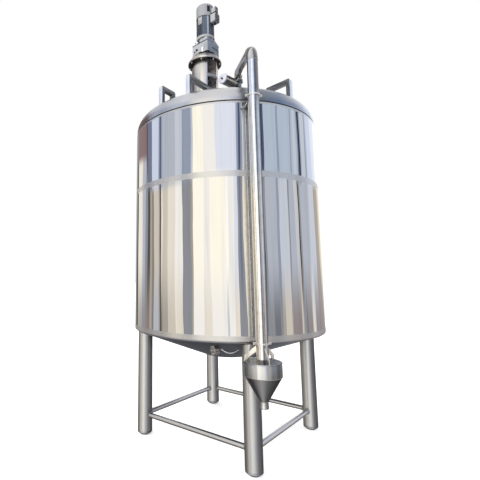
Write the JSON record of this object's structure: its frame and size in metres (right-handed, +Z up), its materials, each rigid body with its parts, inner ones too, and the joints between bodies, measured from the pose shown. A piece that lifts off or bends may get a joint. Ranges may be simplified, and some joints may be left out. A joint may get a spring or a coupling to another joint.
{
  "type": "vertical storage tank",
  "caption": "Polished vertical process tank with a dished head and coned bottom, standing on round tied legs, with a top mixer drive and an overflow line down to a drain funnel",
  "frame": {"origin": "on the floor, under the middle of the tank's bounding box", "axes": "+Z up along the tank's axis, -Y towards the front leg and the overflow line, +X to the right seen from the front"},
  "size_m": [1.55, 1.7688, 3.78],
  "materials": {
    "jacket_polish": "mirror polished stainless sheet",
    "pipe_polish": "polished stainless tube",
    "head_satin": "satin stainless",
    "leg_steel": "brushed stainless tube",
    "fittings_steel": "satin stainless",
    "valve_dark": "dark satin",
    "grey_paint": "satin light grey paint",
    "slate_paint": "satin slate blue paint"
  },
  "bodies": {
    "tank": {"jacket_shell": "jacket_polish", "drop_pipe": "pipe_polish", "rim_bend": "pipe_polish", "crossover_pipe": "pipe_polish", "inner_bend": "pipe_polish", "valve_actuator": "pipe_polish", "top_head": "head_satin", "bottom_cone": "head_satin", "leg_front": "leg_steel", "leg_right": "leg_steel", "leg_back": "leg_steel", "leg_left": "leg_steel", "foot_front": "leg_steel", "foot_right": "leg_steel", "foot_back": "leg_steel", "foot_left": "leg_steel", "tie_bar_front_right": "leg_steel", "tie_bar_right_back": "leg_steel", "tie_bar_back_left": "leg_steel", "tie_bar_left_front": "leg_steel", "port_barrel": "fittings_steel", "port_cover": "fittings_steel", "small_bent_tube": "fittings_steel", "tank_nozzle": "fittings_steel", "pipe_clamp_upper": "fittings_steel", "pipe_clamp_lower": "fittings_steel", "funnel_cup": "fittings_steel", "funnel_cone": "fittings_steel", "funnel_spout": "fittings_steel", "funnel_strap_front": "fittings_steel", "funnel_strap_right": "fittings_steel", "funnel_strap_left": "fittings_steel", "handle_front_right": "fittings_steel", "handle_rear_right": "fittings_steel", "handle_rear_left": "fittings_steel", "guide_bar_long": "fittings_steel", "guide_bar_short": "fittings_steel", "mixer_pad": "fittings_steel", "lantern_base": "fittings_steel", "lantern_bearing_plate": "fittings_steel", "lantern_lower_wall_right": "fittings_steel", "lantern_lower_wall_left": "fittings_steel", "lantern_upper_wall_right": "fittings_steel", "lantern_upper_wall_left": "fittings_steel", "lantern_flange": "fittings_steel", "valve_body": "valve_dark", "actuator_yoke": "valve_dark", "gearbox": "grey_paint", "gearbox_head": "grey_paint", "motor_adapter": "grey_paint", "motor_flange": "grey_paint", "fan_cowl": "grey_paint", "terminal_box": "grey_paint", "cowl_box": "grey_paint", "motor_body": "slate_paint"},
    "rotor": {"mixer_shaft": "valve_dark"}
  },
  "joints": [
    {"name": "mixer_shaft_spin", "type": "hinge", "parent": "tank", "child": "rotor", "pos_m": [-0.154, 0.1094, 3], "axis": [0, 0, 1], "continuous": true}
  ]
}
